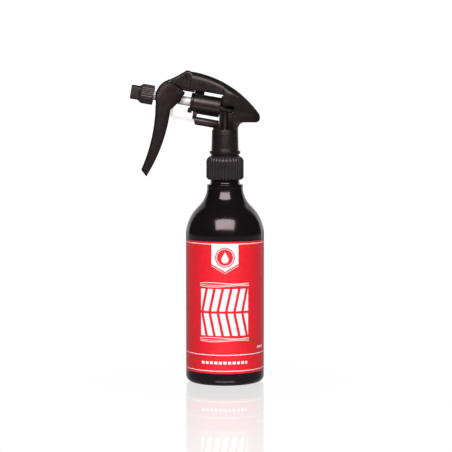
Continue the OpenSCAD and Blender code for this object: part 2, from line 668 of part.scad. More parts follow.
module nozzle_cap() {
    knurl_r = 0.75;
    knurl_end = nozzle_back - knurl_l;
    inner_end = carrier_front - slip - spinner_l - 0.1;
    color([0.08, 0.07, 0.075]) head() difference() {
        union() {
            rod(cap_r - 0.35, knurl_end, nozzle_back);
            for (i = [0:knurls - 1]) rotate([i * 360 / knurls, 0, 0])
                translate([0, 0, cap_r - knurl_r]) rod(knurl_r, knurl_end, nozzle_back);
            intersection() {
                rod(front_flat * 0.61, nozzle_front, knurl_end + 0.5);
                box([nozzle_front, -front_flat / 2, -front_flat / 2], [knurl_end + 0.5, front_flat / 2, front_flat / 2]);
            }
            // flare from the squared front up to the knurls
            translate([knurl_end - 2.2, 0, 0]) rotate([0, 90, 0])
                cylinder(r1 = front_flat / 2 - 0.1, r2 = cap_r - 0.4, h = 2.3);
        }
        rod(carrier_r + run, nozzle_back - 8.4, nozzle_back + 1);
        rod(post_r + 0.25, inner_end, nozzle_back);
        rod(orifice_r, nozzle_front - 1, nozzle_back);
        translate([nozzle_front - eps, 0, 0]) rotate([0, 90, 0]) cylinder(r1 = 2.6, r2 = 0.9, h = 0.8);
    }
}

bottle();
label();
collar();
neck_gasket();
neck_plug();
inlet_ball();
dip_tube();
dip_filter();
pump_body();
rear_plug();
barrel_cap();
barrel_wiper();
shroud();
hinge_hood();
hinge_pin();
trigger();
return_spring();
piston_tube();
piston_seal();
nozzle_carrier();
nozzle_seal();
outlet_valve();
outlet_spring();
spinner();
nozzle_cap();
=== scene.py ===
"""Trigger spray bottle: the camera and light, then each visible piece and its finish.

Lengths are in millimetres until a piece is finished. Points marked (s, t) lie in the spray head's own
plane: s runs back along the pump axis and t is square to it.
"""
import json
from math import acos, atan2, cos, hypot, pi, radians, sin, sqrt

import bmesh
import bpy
from mathutils import Matrix, Vector


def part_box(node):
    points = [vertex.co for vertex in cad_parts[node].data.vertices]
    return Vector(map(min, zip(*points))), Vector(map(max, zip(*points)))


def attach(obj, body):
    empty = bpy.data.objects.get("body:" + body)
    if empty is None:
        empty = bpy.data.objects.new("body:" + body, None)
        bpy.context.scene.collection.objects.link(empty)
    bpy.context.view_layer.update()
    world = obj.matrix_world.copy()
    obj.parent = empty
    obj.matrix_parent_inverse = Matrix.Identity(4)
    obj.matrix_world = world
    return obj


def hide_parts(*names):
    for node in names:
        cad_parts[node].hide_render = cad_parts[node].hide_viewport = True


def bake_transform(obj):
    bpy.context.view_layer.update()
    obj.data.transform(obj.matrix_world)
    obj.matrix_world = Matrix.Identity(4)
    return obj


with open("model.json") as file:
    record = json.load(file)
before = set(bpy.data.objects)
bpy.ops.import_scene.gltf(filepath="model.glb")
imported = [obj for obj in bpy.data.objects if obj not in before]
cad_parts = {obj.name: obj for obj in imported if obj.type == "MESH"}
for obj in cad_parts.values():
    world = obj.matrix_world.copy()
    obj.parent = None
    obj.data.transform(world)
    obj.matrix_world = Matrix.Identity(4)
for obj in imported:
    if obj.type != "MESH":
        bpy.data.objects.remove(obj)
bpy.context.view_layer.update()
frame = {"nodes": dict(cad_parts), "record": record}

MM = 0.001
scene = bpy.context.scene
JOINTS = {j["name"]: j for j in frame["record"]["behaviour"]["joints"]}

# ---- camera -------------------------------------------------------------------------------------
lens = bpy.data.cameras.new("camera")
lens.lens = 147.35
lens.sensor_width = 36
lens.clip_start = 0.05
camera = bpy.data.objects.new("camera", lens)
camera.location = (0.00086, -1.5815, 0.25679)
camera.rotation_euler = (radians(85.55), 0, 0)
scene.collection.objects.link(camera)
scene.camera = camera


# ---- finishes -----------------------------------------------------------------------------------
class Reading:
    """One output of a material's node, with the arithmetic that a pattern needs."""

    def __init__(self, finish, socket):
        self.finish, self.socket = finish, socket

    def _math(self, operation, *values):
        return self.finish.node("ShaderNodeMath", {"operation": operation}, dict(enumerate(values)))

    def __add__(self, other): return self._math("ADD", self, other)
    def __radd__(self, other): return self._math("ADD", other, self)
    def __sub__(self, other): return self._math("SUBTRACT", self, other)
    def __rsub__(self, other): return self._math("SUBTRACT", other, self)
    def __mul__(self, other): return self._math("MULTIPLY", self, other)
    def __rmul__(self, other): return self._math("MULTIPLY", other, self)
    def __abs__(self): return self._math("ABSOLUTE", self)
    def lower(self, other): return self._math("MINIMUM", self, other)
    def upper(self, other): return self._math("MAXIMUM", self, other)
    def sine(self): return self._math("SINE", self)
    def repeat(self, length): return self._math("WRAP", self, length / 2, -length / 2)

    def under(self, edge, soft=0.06):
        """1 where the reading is below edge, 0 above it, turning over a soft width."""
        return self.finish.node("ShaderNodeMapRange", {"interpolation_type": "SMOOTHSTEP"},
                                {"Value": self, "From Min": edge - soft, "From Max": edge + soft,
                                 "To Min": 1.0, "To Max": 0.0})


class Finish:
    """A procedural material round one Principled shader."""

    def __init__(self, name, **fixed):
        self.material = bpy.data.materials.new(name)
        self.material.use_nodes = True
        self.tree = self.material.node_tree
        self.tree.nodes.clear()
        self.shader = self.tree.nodes.new("ShaderNodeBsdfPrincipled")
        output = self.tree.nodes.new("ShaderNodeOutputMaterial")
        self.tree.links.new(self.shader.outputs[0], output.inputs["Surface"])
        for socket, value in fixed.items():
            self.shader.inputs[socket.replace("_", " ")].default_value = value

    def node(self, kind, settings=None, sockets=None, out=0):
        made = self.tree.nodes.new(kind)
        for key, value in (settings or {}).items():
            setattr(made, key, value)
        for key, value in (sockets or {}).items():
            self.feed(made.inputs[key], value)
        return Reading(self, made.outputs[out])

    def feed(self, socket, value):
        if isinstance(value, Reading):
            self.tree.links.new(value.socket, socket)
        else:
            socket.default_value = value

    def shade(self, **readings):
        for socket, value in readings.items():
            self.feed(self.shader.inputs[socket.replace("_", " ")], value)

    def place(self):
        return self.node("ShaderNodeTexCoord", out="Object")

    def axes(self):
        """X, Y and Z of the piece in millimetres."""
        split = self.node("ShaderNodeSeparateXYZ", {}, {0: self.place()}).socket.node
        return [Reading(self, split.outputs[i]) * 1000 for i in range(3)]

    def noise(self, scale, detail=3.0, stretch=(1, 1, 1)):
        spot = self.node("ShaderNodeMapping", {}, {"Vector": self.place(), "Scale": stretch})
        return self.node("ShaderNodeTexNoise", {}, {"Vector": spot, "Scale": scale, "Detail": detail})

    def blend(self, share, first, second):
        """The first colour where share is 0, the second where it is 1."""
        return self.node("ShaderNodeMix", {"data_type": "RGBA"}, {0: share, 6: first, 7: second}, out=2)

    def spread(self, reading, low, high, from_low=0.3, from_high=0.7):
        return self.node("ShaderNodeMapRange", {}, {"Value": reading, "From Min": from_low,
                         "From Max": from_high, "To Min": low, "To Max": high})

    def relief(self, *layers):
        """Bump from pairs of (height reading, depth in mm)."""
        normal = None
        for height, depth in layers:
            sockets = {"Height": height, "Distance": depth * MM, "Strength": 1.0}
            if normal:
                sockets["Normal"] = normal
            normal = self.node("ShaderNodeBump", {}, sockets)
        self.feed(self.shader.inputs["Normal"], normal)


def rgb(red, green, blue):
    """A screen colour, 0 to 255, as the shader's own."""
    def straight(c):
        c /= 255
        return c / 12.92 if c <= 0.04045 else ((c + 0.055) / 1.055) ** 2.4
    return straight(red), straight(green), straight(blue), 1.0


WARM_GLOSS = (1.0, 0.8, 0.84, 1.0)                       # the black plastics reflect a little warm


def moulded(name, dark, pale, rough, grain=0.012, **fixed):
    """Injection-moulded plastic with a fine sparked grain, faint flow marks and rubbed patches."""
    f = Finish(name, Specular_Tint=WARM_GLOSS, **fixed)
    flow = f.noise(42, 4, (1, 1, 0.35))
    fine = f.noise(3200, 2)
    f.shade(Base_Color=f.blend(f.spread(flow, 0, 1), dark, pale),
            Roughness=f.spread(f.noise(160, 5), rough - 0.06, rough + 0.08))
    f.relief((fine, grain), (flow, 0.05))
    return f.material


def blown():
    """Glossy blow-moulded wall: slight waves, fine die lines up the height, a little dust."""
    f = Finish("black_blown_bottle", Specular_Tint=WARM_GLOSS)
    wave = f.noise(34, 2, (1, 1, 0.5))
    die = f.noise(420, 2, (1, 1, 0.03))
    dust = f.spread(f.noise(900, 2), 0, 1, 0.68, 0.76)
    f.shade(Base_Color=f.blend(dust, rgb(17, 12, 14), rgb(44, 38, 40)),
            Roughness=f.spread(f.noise(75, 4), 0.11, 0.2))
    f.relief((wave, 0.09), (die, 0.006))
    return f.material


def printed(radius, label_low, label_high):
    """Satin red film with a plain white print: rules, a banner with a drop, slanted bars and dashes."""
    f = Finish("red_label_film", Coat_Roughness=0.25)
    x, y, z = f.axes()
    turn = f.node("ShaderNodeMath", {"operation": "ARCTAN2"}, {0: x, 1: y * -1})
    u = turn * radius                       # round the bottle from the middle of the front
    across = abs(u)

    def band(height, half):
        return abs(z - height).under(half)

    def both(first, second): return first * second
    def either(*masks):
        whole = masks[0]
        for mask in masks[1:]:
            whole = whole.upper(mask)
        return whole

    rules = either(band(label_high - 2.0, 0.32), band(26.8, 0.32), band(13.2, 0.32))
    # banner with a pointed end, a thin line under its point, and a disc with a drop
    point = z - across * 0.56
    banner = both(both(across.under(11.6), (97.6 - point).under(0)), z.under(label_high - 2.0))
    edge = both(abs(point - 96.1).under(0.22, 0.1), across.under(11.6))
    disc_z = 109.6
    away = f.node("ShaderNodeMath", {"operation": "SQRT"}, {0: u * u + (z - disc_z) * (z - disc_z)})
    disc = away.under(8.4)
    ring = abs(away - 7.2).under(0.3)
    bowl = f.node("ShaderNodeMath", {"operation": "SQRT"},
                  {0: u * u + (z - (disc_z - 1.7)) * (z - (disc_z - 1.7))}).under(3.0)
    tip = both((across * 1.75 + (z - disc_z)).under(4.5), (disc_z - 0.7 - z).under(0))
    badge = both(banner, 1 - both(disc, 1 - either(ring, bowl, tip)))

    # two rows of slanted bars that lean opposite ways, between pairs of wavy rules
    def row(middle, lean):
        bars = abs((u + (z - middle) * lean + 0.4).repeat(7.1)).under(2.35)
        return both(both(abs(z - middle).under(9.4), abs(u + 0.4).under(21.3)), bars)

    def waves(middle):
        swing = (u * (pi / 21.5)).sine() * 0.55
        pair = either(abs(z - middle - 1.3 + swing).under(0.3), abs(z - middle + 1.2 - swing).under(0.3),
                      abs(z - middle - swing * 0.6).under(0.22))
        return both(pair, abs(u + 0.4).under(22.2)) * 0.8

    dash = abs(u.repeat(3.9)).under(1.35)
    small = both(both(abs(z - 20.2).under(1.15), abs(u + 0.6).under(20.6)), dash)
    beside = u - 36.2
    mark = both(abs(z - 32.2).under(1.0), both(abs(beside).under(4.6), abs(beside.repeat(3.1)).under(1.1)))
    # back of the label: a table of fine dashes over a plain panel
    back = abs(across - radius * pi)
    lines = both(abs((z - 62).repeat(3.2)).under(0.55), abs((u + z * 0.9).repeat(6.7)).under(2.9))
    table = both(both(abs(z - 78).under(26.0), back.under(26.0)), lines) * 0.85
    panel = both(abs(z - 37).under(7.6), back.under(25.0))
    stripes = both(abs(z - 37).under(5.6), both(abs(back - 11).under(9.5), abs(u.repeat(1.9)).under(0.5)))
    ink = either(rules, badge, edge, row(73.5, -0.22), row(52.7, 0.22), waves(86.4), waves(39.9),
                 small, mark, table, panel).lower(1)
    mottle = f.noise(260, 5)
    red = f.blend(f.spread(mottle, 0, 1), rgb(222, 16, 34), rgb(232, 22, 40))
    white = f.blend(stripes, rgb(238, 234, 236), rgb(200, 26, 44))
    f.shade(Base_Color=f.blend(ink, red, white),
            Roughness=f.spread(f.noise(120, 4), 0.36, 0.46) + ink * 0.06, Coat_Weight=0.08)
    f.relief((f.noise(46, 2, (1, 1, 0.4)), 0.045), (mottle, 0.002), (ink, 0.006))
    return f.material


def milky(name, tint):
    """Unpigmented plastic that lets light through a little."""
    f = Finish(name, IOR=1.48, Subsurface_Weight=0.3, Subsurface_Scale=0.003)
    cloud = f.noise(150, 4)
    f.shade(Base_Color=f.blend(f.spread(cloud, 0, 1), tint, rgb(220, 211, 216)),
            Roughness=f.spread(cloud, 0.24, 0.36))
    f.relief((f.noise(600, 2), 0.006))
    return f.material


def glassy(name, tint):
    """Clear moulding that shows mostly at its edges."""
    f = Finish(name, IOR=1.45)
    rim = f.node("ShaderNodeLayerWeight", {}, {"Blend": 0.35}, out="Facing")
    cloud = f.noise(150, 4)
    f.shade(Base_Color=f.blend(f.spread(cloud, 0, 1), tint, rgb(228, 220, 224)),
            Roughness=f.spread(cloud, 0.2, 0.3), Alpha=rim * 0.5 + 0.28)
    f.relief((f.noise(600, 2), 0.004))
    return f.material


def plain(name, first, second, rough, metal=0.0, scale=220, depth=0.01):
    f = Finish(name)
    cloud = f.noise(scale, 4)
    f.shade(Base_Color=f.blend(f.spread(cloud, 0, 1), first, second), Metallic=metal,
            Roughness=f.spread(cloud, rough - 0.05, rough + 0.05))
    f.relief((f.noise(scale * 6, 2), depth))
    return f.material


label_box = [c / MM for c in (*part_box("label")[0], *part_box("label")[1])]
bottle_black = blown()
film = printed(label_box[3], label_box[2], label_box[5])
head_black = moulded("black_moulded_head", rgb(18, 12, 13), rgb(26, 19, 20), 0.32, Specular_IOR_Level=0.28)
stem_black = moulded("black_moulded_stem", rgb(22, 16, 17), rgb(30, 23, 24), 0.33, Specular_IOR_Level=0.38)
trigger_black = moulded("black_moulded_trigger", rgb(18, 12, 12), rgb(26, 18, 18), 0.33,
                        Specular_IOR_Level=0.26)
nozzle_black = moulded("black_moulded_nozzle", rgb(30, 24, 25), rgb(40, 34, 35), 0.36, 0.016,
                       Specular_IOR_Level=0.4)
collar_black = moulded("black_moulded_collar", rgb(29, 25, 26), rgb(37, 32, 33), 0.34)
clear = milky("milky_clear_plastic", rgb(202, 192, 197))
clear_strap = glassy("clear_spring_plastic", rgb(206, 180, 178))
white_plastic = plain("natural_white_plastic", rgb(226, 224, 219), rgb(238, 236, 232), 0.38)
rubber = plain("seal_rubber", rgb(30, 28, 29), rgb(40, 38, 38), 0.62)
gasket_foam = plain("gasket_foam", rgb(205, 203, 197), rgb(222, 220, 214), 0.7, 0, 700, 0.03)
steel = plain("drawn_steel", rgb(176, 177, 180), rgb(196, 197, 199), 0.24, 1.0, 900, 0.002)

# ---- places -------------------------------------------------------------------------------------
AXIS_Z = JOINTS["nozzle_turn"]["pos_m"][2] / MM
TILT = atan2(JOINTS["nozzle_turn"]["axis"][2], -JOINTS["nozzle_turn"]["axis"][0])
UPRIGHT = Matrix.Scale(MM, 4)
HEAD = UPRIGHT @ Matrix.Translation((0, 0, AXIS_Z)) @ Matrix.Rotation(TILT, 4, "Y")
ALONG = Matrix.Rotation(pi / 2, 4, "Y")                # lays a piece turned about Z along the pump axis


def in_head(point):
    """(s, t) of a point of the frame in metres."""
    s, _, t = HEAD.inverted() @ Vector(point)
    return s, t


PIVOT = in_head(JOINTS["trigger_pull"]["pos_m"])
TRUNNION = (-40.9, 0.0)                                 # the tube's side pins
STEM_TOP = 216.22
REST_Z = AXIS_Z - 12.4


# ---- modelling ----------------------------------------------------------------------------------
def arc(centre, radius, start, end, steps=12):
    return [(centre[0] + radius * cos(radians(start + (end - start) * i / steps)),
             centre[1] + radius * sin(radians(start + (end - start) * i / steps)))
            for i in range(steps + 1)]


def turned(points, steps=96, closed=True, sweep=360.0, rise=0.0):
    """Turns a profile of (radius, height) points about Z. An open profile ends on the axis."""
    bm = bmesh.new()
    ring = [bm.verts.new((r, 0, h)) for r, h in points]
    pairs = list(zip(ring, ring[1:])) + ([(ring[-1], ring[0])] if closed else [])
    edges = [bm.edges.new(pair) for pair in pairs]
    whole = sweep == 360 and not rise
    out = bmesh.ops.spin(bm, geom=ring + edges, cent=(0, 0, 0), axis=(0, 0, 1), dvec=(0, 0, rise / steps),
                         angle=radians(sweep), steps=steps, use_merge=whole)
    if not whole:
        bm.faces.new(ring)
        bm.faces.new([g for g in out["geom_last"] if isinstance(g, bmesh.types.BMVert)])
    return bm


def along(bm, t=0.0):
    """Lays what was turned about Z along the pump axis, t over it."""
    bm.transform(Matrix.Translation((0, 0, t)) @ ALONG)
    return bm


def add_across(bm, place, points, steps, side=1):
    """Adds a profile turned about a cross axis that runs through place (s, t) towards one side."""
    part = turned(points, steps, closed=False)
    part.transform(Matrix.Translation((place[0], 0, place[1])) @ Matrix.Rotation(-side * pi / 2, 4, "X"))
    mesh = bpy.data.meshes.new("part")
    part.to_mesh(mesh)
    part.free()
    bm.from_mesh(mesh)
    bpy.data.meshes.remove(mesh)


def trimmed(bm, point, normal, **side):
    """Cuts a solid by a plane, drops one side and closes the cut."""
    cut = bmesh.ops.bisect_plane(bm, geom=bm.verts[:] + bm.edges[:] + bm.faces[:],
                                 plane_co=point, plane_no=normal, **side)
    bmesh.ops.contextual_create(bm, geom=[g for g in cut["geom_cut"] if isinstance(g, bmesh.types.BMEdge)])


def soften(bm, faces, width, segments=3, sharp=28):
    """Rounds the sharp edges of the given faces."""
    edges = {e for f in faces for e in f.edges if len(e.link_faces) == 2
             and e.calc_face_angle(0) > radians(sharp)}
    if width and edges:
        bmesh.ops.bevel(bm, geom=list(edges), offset=width, offset_type="OFFSET", affect="EDGES",
                        segments=segments, profile=0.5, material=-1, clamp_overlap=True)


def slab(bm, outline, low, high, width=0.35, segments=3):
    """A plate of the outline (s, t) from y = low to y = high, with rounded edges."""
    face = bm.faces.new([bm.verts.new((s, low, t)) for s, t in outline])
    grown = bmesh.ops.extrude_face_region(bm, geom=[face])["geom"]
    bmesh.ops.translate(bm, verts=[g for g in grown if isinstance(g, bmesh.types.BMVert)],
                        vec=(0, high - low, 0))
    faces = {face, *(g for g in grown if isinstance(g, bmesh.types.BMFace))}
    faces |= {f for e in face.edges for f in e.link_faces}
    bmesh.ops.recalc_face_normals(bm, faces=list(faces))
    soften(bm, faces, width, segments)
    return bm


def box(bm, low, high, width=0.35):
    (x0, y0, z0), (x1, y1, z1) = low, high
    return slab(bm, [(x0, z0), (x1, z0), (x1, z1), (x0, z1)], y0, y1, width)


def wrapped(bm, points, low, high, width=0.35):
    """The tightest solid round the points (s, t), from y = low to y = high."""
    verts = [bm.verts.new((s, y, t)) for s, t in points for y in (low, high)]
    hull = bmesh.ops.convex_hull(bm, input=verts)["geom"]
    faces = [g for g in hull if isinstance(g, bmesh.types.BMFace)]
    edges = list({e for f in faces for e in f.edges})
    kept = bmesh.ops.dissolve_limit(bm, angle_limit=radians(1), verts=verts, edges=edges)
    soften(bm, [f for f in bm.faces if f in faces or f in kept["region"]], width)
    return bm


def sheet(columns, rows, at):
    """A skin of columns by rows of faces, each corner placed by at(column, row)."""
    bm = bmesh.new()
    bmesh.ops.create_grid(bm, x_segments=columns, y_segments=rows, size=1)
    for v in bm.verts:
        v.co = at(round((v.co.x + 1) / 2 * columns), round((v.co.y + 1) / 2 * rows))
    return bm


def finish(name, bm, body, slot, material, nodes, matrix=UPRIGHT, sharp=38, wall=0.0, edge=0.0):
    """Turns the mesh into a named piece that rides on its body and stands for its nodes."""
    bmesh.ops.remove_doubles(bm, verts=bm.verts, dist=0.002)
    if not wall:
        bmesh.ops.recalc_face_normals(bm, faces=bm.faces)
    bm.transform(matrix)
    mesh = bpy.data.meshes.new(name)
    bm.to_mesh(mesh)
    bm.free()
    mesh.materials.append(material)
    mesh.shade_smooth()
    mesh.set_sharp_from_angle(angle=radians(sharp))
    piece = bpy.data.objects.new(name, mesh)
    scene.collection.objects.link(piece)
    if wall:
        shell = piece.modifiers.new("wall", "SOLIDIFY")
        shell.thickness = wall * MM
        shell.offset = -1
    if edge:
        rounding = piece.modifiers.new("edge", "BEVEL")
        rounding.width = edge * MM
        rounding.segments = 2
        rounding.limit_method = "ANGLE"
        rounding.angle_limit = radians(50)
    if body:
        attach(piece, body)
    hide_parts(*nodes)
    return piece


# ---- bottle and label ---------------------------------------------------------------------------
low, high = ([c / MM for c in corner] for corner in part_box("bottle"))
BOTTLE_R, LIP_Z = high[0], high[2]
SHOULDER_Z, SHOULDER_R, THROAT_R, MEET, THROAT_END = 126.0, 34.0, 23.6, 47.0, 5.0
NECK_R, NECK_BORE, LEDGE_H, FOOT_R, PUSHUP, BOTTLE_WALL = 12.4, 10.6, 3.6, 5.5, 2.0, 0.95
throat_x = BOTTLE_R - SHOULDER_R + (SHOULDER_R + THROAT_R) * cos(radians(MEET))
throat_z = SHOULDER_Z + (SHOULDER_R + THROAT_R) * sin(radians(MEET))
ledge_r = throat_x - THROAT_R * cos(radians(THROAT_END))
ledge_z = throat_z - THROAT_R * sin(radians(THROAT_END))
fillet = min(ledge_r - NECK_R, 1.8)
label_low, label_high = label_box[2], label_box[5]
recess_r = BOTTLE_R - 0.15


def shoulder(inset):
    return (arc((BOTTLE_R - SHOULDER_R, SHOULDER_Z), SHOULDER_R - inset, 0, MEET, 28)
            + arc((throat_x, throat_z), THROAT_R + inset, 180 + MEET, 180 + THROAT_END, 24))


outside = ([(0, PUSHUP)] + arc((BOTTLE_R - FOOT_R - 5.5, PUSHUP - 2.2), 2.2, 90, 30, 4)
           + arc((BOTTLE_R - FOOT_R - 1.6, 0.9), 0.9, -130, -90, 3)
           + arc((BOTTLE_R - FOOT_R, FOOT_R), FOOT_R, -90, 0, 14)
           + [(BOTTLE_R, label_low - 0.35), (recess_r, label_low - 0.2), (recess_r, label_high + 0.2),
              (BOTTLE_R, label_high + 0.35)]
           + shoulder(0)
           + [(ledge_r, ledge_z + 0.3)] + arc((ledge_r - 0.35, ledge_z + LEDGE_H - 0.35), 0.35, 0, 90, 4)
           + arc((NECK_R + fillet, ledge_z + LEDGE_H + fillet), fillet, 268, 180, 10)
           + [(NECK_R, LIP_Z - 0.4), (NECK_R - 0.4, LIP_Z)])
inside = ([(0, PUSHUP + 1.2), (BOTTLE_R - FOOT_R - 5, PUSHUP + 1.2), (BOTTLE_R - FOOT_R - 1.5, 1.4)]
          + arc((BOTTLE_R - FOOT_R, FOOT_R), FOOT_R - BOTTLE_WALL - 0.2, -90, 0, 8)
          + [(BOTTLE_R - BOTTLE_WALL, SHOULDER_Z - 1)]
          + [(max(r, NECK_BORE), h) for r, h in shoulder(BOTTLE_WALL)]
          + [(NECK_BORE, ledge_z + 1.5), (NECK_BORE, LIP_Z)])
finish("bottle_shell", turned(outside + inside[::-1], 160, closed=False), "bottle", "bottle_plastic",
       bottle_black, ["bottle"])

# thread round the neck
THREAD_TURNS, PITCH = 1.25, 4.233
thread_z = LIP_Z - 3 - PITCH * THREAD_TURNS
ridge = turned([(NECK_R - 0.3, thread_z - 1.05), (NECK_R + 1.1, thread_z - 0.5),
                (NECK_R + 1.1, thread_z + 0.5), (NECK_R - 0.3, thread_z + 1.05)],
               48, sweep=360 * THREAD_TURNS, rise=PITCH * THREAD_TURNS)
finish("bottle_thread", ridge, "bottle", "bottle_plastic", bottle_black, ["bottle"])

# parting line of the mould up both sides of the shoulder and the foot
seam = bmesh.new()
foot_line = [(r, h) for r, h in outside if 0.6 < h < label_low - 0.4 and r > 28]
for line in (shoulder(0)[2:-2], foot_line):
    for side in (-1, 1):
        outer = [(side * min(r + 0.05, BOTTLE_R - 0.01), h) for r, h in line]
        inner = [(side * (r - 0.4), h) for r, h in line]
        slab(seam, outer + inner[::-1], -0.14, 0.14, 0)
finish("bottle_parting_line", seam, "bottle", "bottle_plastic", bottle_black, ["bottle"])

film_wall = [(recess_r + 0.03, label_low), (BOTTLE_R, label_low), (BOTTLE_R, label_high),
             (recess_r + 0.03, label_high)]
wrap = turned(film_wall, 180, sweep=359.3)
wrap.transform(Matrix.Rotation(radians(90.35), 4, "Z"))
finish("label_wrap", wrap, "bottle", "label_film", film, ["label"])

# ---- collar -------------------------------------------------------------------------------------
low, high = ([c / MM for c in corner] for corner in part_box("collar"))
COLLAR_R, COLLAR_FOOT, COLLAR_TOP = 16.0, low[2], high[2]
RIBS, RIB_R = 36, 0.85
seat = COLLAR_TOP - 2.5
skin = ([(COLLAR_R - 1.7, COLLAR_FOOT), (COLLAR_R - 1.2, COLLAR_FOOT + 0.3)]
        + [(COLLAR_R - 1.2 + 1.2 * k / 5, COLLAR_FOOT + 0.3 + 1.5 * k / 5) for k in range(1, 6)]
        + [(COLLAR_R, COLLAR_FOOT + 3 + 2.4 * k) for k in range(5)]
        + arc((COLLAR_R - 5.2, COLLAR_TOP - 5.4), 5.2, 0, 62, 12)
        + [(COLLAR_R - 3.3, COLLAR_TOP - 0.35), (COLLAR_R - 3.7, COLLAR_TOP)])
collar = turned(skin + [(9.8, COLLAR_TOP), (9.8, seat), (13.9, seat), (13.9, COLLAR_FOOT)], RIBS * 10)
for v in collar.verts:
    r = hypot(v.co.x, v.co.y)
    if r < 12.6:
        continue
    step = 2 * pi * COLLAR_R / RIBS
    off = (atan2(v.co.y, v.co.x) / (2 * pi) * RIBS + 0.5) % 1 - 0.5
    stand = sqrt(max(0.0, RIB_R ** 2 - (off * step) ** 2)) - 0.3
    groove = 0.55 - max(0.0, stand)
    ends = min(1, max(0, (v.co.z - COLLAR_FOOT - 0.2) / 0.8), max(0, (COLLAR_TOP - 1.0 - v.co.z) / 1.1))
    if r > 14.05 or v.co.z > seat:
        v.co.xy *= (r - groove * ends) / r
finish("collar_ribbed", collar, "collar", "head_plastic", collar_black, ["collar"], sharp=50)

# ---- stem and what stands on it -----------------------------------------------------------------
RING_FOOT = 195.62
stem = turned([(6.6, RING_FOOT - 3.9), (9.5, RING_FOOT - 3.9), (9.5, RING_FOOT - 1.2),
               (11.7, RING_FOOT - 1.2), (11.9, RING_FOOT - 1.0), (11.9, RING_FOOT)]
              + arc((12.8, RING_FOOT + 0.4), 0.4, -90, 0, 4) + arc((12.8, RING_FOOT + 2.2), 0.4, 0, 90, 4)
              + arc((12.35, RING_FOOT + 3.3), 0.7, 250, 185, 4)
              + [(11.6, RING_FOOT + 6), (11.4, RING_FOOT + 13)] + arc((10.8, STEM_TOP - 0.4), 0.4, 0, 90, 4)
              + [(9.4, STEM_TOP), (9.1, STEM_TOP - 0.35), (3.3, STEM_TOP - 0.35), (3.3, RING_FOOT + 3),
                 (6.6, RING_FOOT + 3)], 128)
finish("stem_outer", stem, "head", "head_plastic", stem_black, ["pump_body"])

riser = turned(arc((3.9, STEM_TOP + 0.4), 0.7, 250, 180, 4)
               + [(3.2, AXIS_Z - 3.4), (0, AXIS_Z - 3.4), (0, STEM_TOP - 0.5)], 64, closed=False)
box(riser, (-5, -1, STEM_TOP - 1), (0, 1, AXIS_Z - 2), 0.25)
box(riser, (0, -0.9, STEM_TOP - 1), (7.4, 0.9, AXIS_Z - 4.2), 0.25)
box(riser, (-10.2, -2, STEM_TOP - 1), (-4, 2, STEM_TOP + 5.5), 0.4)
finish("stem_riser_and_webs", riser, "head", "head_plastic", head_black, ["pump_body"])


# the head's rear from above: a wide and a narrow circle, joined by a straight run between two places
# (s, half width)
WIDE_S, WIDE_R, NARROW_S, NARROW_R = 1, 12.4, 22.55, 8
RUN_START, RUN_END = (3.53, 12.14), (24.18, 7.83)


def rear_width(s):
    """Half width of the head's rear."""
    (s0, half0), (s1, half1) = RUN_START, RUN_END
    if s < s0:
        return sqrt(WIDE_R ** 2 - (s - WIDE_S) ** 2)
    if s < s1:
        return half0 + (half1 - half0) * (s - s0) / (s1 - s0)
    return sqrt(max(0.3, NARROW_R ** 2 - (s - NARROW_S) ** 2))


def skirt_line(x):
    """Height of the shroud's lower edge."""
    return AXIS_Z + (-0.62 - x * sin(TILT)) / cos(TILT)


# hand rest: a block under the shroud's skirt that flows out of the stem
REST_FRONT, REST_REAR = 6.6, 30.05
outline = ([(REST_FRONT, skirt_line(REST_FRONT)), (REST_FRONT, REST_Z)]
           + arc((REST_REAR - 4, REST_Z + 4), 4, -90, 14, 12)
           + [(REST_REAR - 0.6, skirt_line(REST_REAR - 0.6))])
rest = slab(bmesh.new(), outline, -12.1, 12.1, 0)
for k in range(1, 25):
    bmesh.ops.bisect_plane(rest, geom=rest.verts[:] + rest.edges[:] + rest.faces[:],
                           plane_co=(REST_FRONT + k * 0.95, 0, 0), plane_no=(1, 0, 0))
for v in rest.verts:
    v.co.y = (rear_width(v.co.x / cos(TILT)) - 0.3) * (1 if v.co.y > 0 else -1)
rim = [e for e in rest.edges if e.verts[0].co.y * e.verts[1].co.y > 0
       and all(skirt_line(v.co.x) - v.co.z > 0.3 for v in e.verts)
       and len(e.link_faces) == 2 and e.calc_face_angle(0) > radians(30)
       and all(v.co.x > 16 for v in e.verts)]
bmesh.ops.bevel(rest, geom=rim, offset=2.0, offset_type="OFFSET", affect="EDGES", segments=5, profile=0.5,
                material=-1, clamp_overlap=True)
# the stem widens into the hand rest, cut to the rest's front and sides
flare = turned([(0, STEM_TOP - 0.6), (11.1, STEM_TOP - 0.6)] + arc((17.2, REST_Z - 6), 6.05, 178, 90, 14)
               + [(17.4, REST_Z + 0.3), (0, REST_Z + 0.3)], 96, closed=False)
taper = Vector((0.2087, 1)).normalized()
flank_s, flank_y = RUN_START[0], 11.84
for point, normal in (((REST_FRONT, 0, 0), (-1, 0, 0)), ((flank_s, flank_y, 0), (taper.x, taper.y, 0)),
                      ((flank_s, -flank_y, 0), (taper.x, -taper.y, 0))):
    trimmed(flare, point, normal, clear_outer=True)
finish("stem_flare", flare, "head", "head_plastic", stem_black, ["pump_body"])
finish("hand_rest", rest, "head", "head_plastic", head_black, ["pump_body"])

# ---- pump barrel and its neighbours, in the head's plane ----------------------------------------
barrel = along(turned([(0, -6), (6.2, -6), (6.2, -27.4), (7.45, -27.4), (7.75, -27.1), (7.75, -4.5),
                       (7.65, -4.2), (7.3, -4), (0, -4)], 96, closed=False))
finish("pump_barrel", barrel, "head", "head_plastic", stem_black, ["pump_body"], HEAD)

